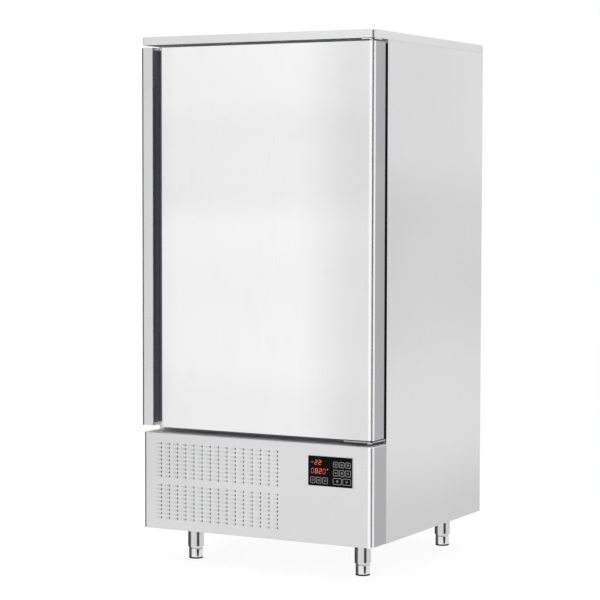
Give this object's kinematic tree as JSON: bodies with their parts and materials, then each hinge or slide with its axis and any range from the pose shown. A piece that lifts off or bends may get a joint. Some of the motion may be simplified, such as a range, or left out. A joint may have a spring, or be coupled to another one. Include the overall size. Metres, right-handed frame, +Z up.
{
  "type": "blast chiller",
  "caption": "Reach-in stainless blast chiller: insulated cabinet with one hinged door and full-height handle over a louvred compressor compartment, on adjustable legs.",
  "frame": {"origin": "on the floor under the cabinet, at the middle of the overall box in plan", "axes": "+X towards the hinge side, to the right of a person facing the door; -Y is the door side; +Z up"},
  "size_m": [0.8, 0.82, 1.645],
  "materials": {
    "stainless": "satin, fine vertical brushing",
    "bright_stainless": "bright",
    "frame_steel": "satin",
    "galvanised_sheet": "dull zinc",
    "foam": "rigid foam",
    "gloss_overlay": "gloss black film",
    "black_plastic": "fine matt",
    "grey_plastic": "satin light grey",
    "gasket": "soft matt",
    "grip_plastic": "satin dark grey",
    "black_rubber": "matt",
    "copper": "drawn copper tube",
    "aluminium_fins": "rolled",
    "compressor_black": "semi-gloss black paint"
  },
  "bodies": {
    "cabinet": {"base_pan": "galvanised_sheet", "side_panel_left": "stainless", "side_panel_right": "stainless", "back_panel": "galvanised_sheet", "compartment_deck": "galvanised_sheet", "face_frame": "frame_steel", "insulation_foam": "foam", "chamber_liner": "stainless", "top_cover": "stainless", "front_panel": "stainless", "control_overlay": "gloss_overlay", "control_box": "black_plastic", "hinge_plate_top": "bright_stainless", "hinge_pin_top": "bright_stainless", "hinge_plate_bottom": "bright_stainless", "hinge_pin_bottom": "bright_stainless", "leg_tube_front_left": "stainless", "leg_tube_front_right": "stainless", "leg_tube_rear_left": "stainless", "leg_tube_rear_right": "stainless", "tray_rack_left": "bright_stainless", "tray_rack_right": "bright_stainless", "fan_panel": "stainless", "fan_guard_lower": "bright_stainless", "fan_motor_lower": "black_plastic", "fan_guard_upper": "bright_stainless", "fan_motor_upper": "black_plastic", "evaporator_coil": "aluminium_fins", "drip_pan": "stainless", "drain_pipe": "grey_plastic", "condenser_coil": "aluminium_fins", "condenser_shroud": "galvanised_sheet", "condenser_fan_motor": "black_plastic", "compressor": "compressor_black", "liquid_receiver": "compressor_black", "suction_line": "copper", "discharge_line": "copper", "liquid_line": "copper", "condensate_tray": "galvanised_sheet", "cable_gland": "black_plastic"},
    "door": {"door_skin": "stainless", "door_cap_top": "grey_plastic", "door_cap_bottom": "grey_plastic", "door_liner": "stainless", "door_foam": "foam", "door_gasket": "gasket", "handle_grip": "grip_plastic", "door_bush_top": "black_plastic", "door_bush_bottom": "black_plastic"},
    "evaporator_fan_lower": {"fan_rotor_lower": "aluminium_fins"},
    "evaporator_fan_upper": {"fan_rotor_upper": "aluminium_fins"},
    "condenser_fan": {"condenser_fan_rotor": "aluminium_fins"},
    "foot_front_left": {"leg_foot_front_left": "bright_stainless", "foot_pad_front_left": "black_rubber"},
    "foot_front_right": {"leg_foot_front_right": "bright_stainless", "foot_pad_front_right": "black_rubber"},
    "foot_rear_left": {"leg_foot_rear_left": "bright_stainless", "foot_pad_rear_left": "black_rubber"},
    "foot_rear_right": {"leg_foot_rear_right": "bright_stainless", "foot_pad_rear_right": "black_rubber"}
  },
  "joints": [
    {"name": "door_hinge", "type": "hinge", "parent": "cabinet", "child": "door", "pos_m": [0.38, -0.378, 1.022], "axis": [0, 0, 1], "range_deg": [0, 110]},
    {"name": "evaporator_fan_lower_spin", "type": "hinge", "parent": "cabinet", "child": "evaporator_fan_lower", "pos_m": [0, 0.177, 0.76], "axis": [0, 1, 0], "continuous": true},
    {"name": "evaporator_fan_upper_spin", "type": "hinge", "parent": "cabinet", "child": "evaporator_fan_upper", "pos_m": [0, 0.177, 1.284], "axis": [0, 1, 0], "continuous": true},
    {"name": "condenser_fan_spin", "type": "hinge", "parent": "cabinet", "child": "condenser_fan", "pos_m": [-0.14, -0.1817, 0.2538], "axis": [0, 1, 0], "continuous": true},
    {"name": "foot_front_left_height", "type": "slide", "parent": "cabinet", "child": "foot_front_left", "axis": [0, 0, -1], "range_m": [0, 0.03]},
    {"name": "foot_front_right_height", "type": "slide", "parent": "cabinet", "child": "foot_front_right", "axis": [0, 0, -1], "range_m": [0, 0.03]},
    {"name": "foot_rear_left_height", "type": "slide", "parent": "cabinet", "child": "foot_rear_left", "axis": [0, 0, -1], "range_m": [0, 0.03]},
    {"name": "foot_rear_right_height", "type": "slide", "parent": "cabinet", "child": "foot_rear_right", "axis": [0, 0, -1], "range_m": [0, 0.03]}
  ]
}
